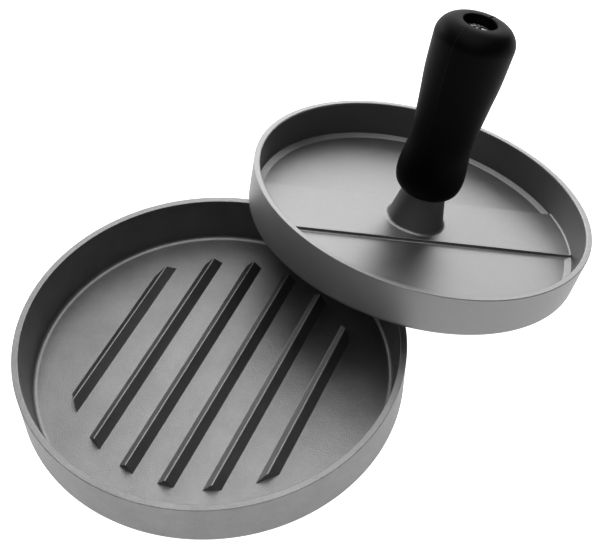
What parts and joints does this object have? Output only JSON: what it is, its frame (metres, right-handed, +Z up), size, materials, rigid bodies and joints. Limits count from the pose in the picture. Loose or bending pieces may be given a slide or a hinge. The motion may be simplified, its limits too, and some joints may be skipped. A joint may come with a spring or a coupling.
{
  "type": "patty press",
  "caption": "Round cast aluminium patty press: a shallow mould with raised ridges, and a press plate with an upright plastic grip, leaning on the mould's rim.",
  "frame": {"origin": "centre of the mould's foot, on the table it stands on", "axes": "+Z up along the mould's axis; the press plate leans on the rim towards +X and +Y; +X to the right of someone who stands on the -Y side and looks along +Y"},
  "size_m": [0.1912, 0.1734, 0.0934],
  "materials": {
    "mould_aluminium": "satin cast aluminium, fine blasted grain",
    "plate_aluminium": "satin cast aluminium, softly brushed",
    "grip_plastic": "black moulded plastic, finely textured",
    "zinc_steel": "zinc-plated steel"
  },
  "bodies": {
    "mould": {"mould": "mould_aluminium"},
    "press": {"press_plate": "plate_aluminium", "grip": "grip_plastic", "handle_screw": "zinc_steel", "spring_washer": "zinc_steel", "flat_washer": "zinc_steel"}
  },
  "joints": [
    {"name": "press_lift", "type": "slide", "parent": "mould", "child": "press", "axis": [0, 0, 1], "range_m": [0, 0.12]}
  ]
}
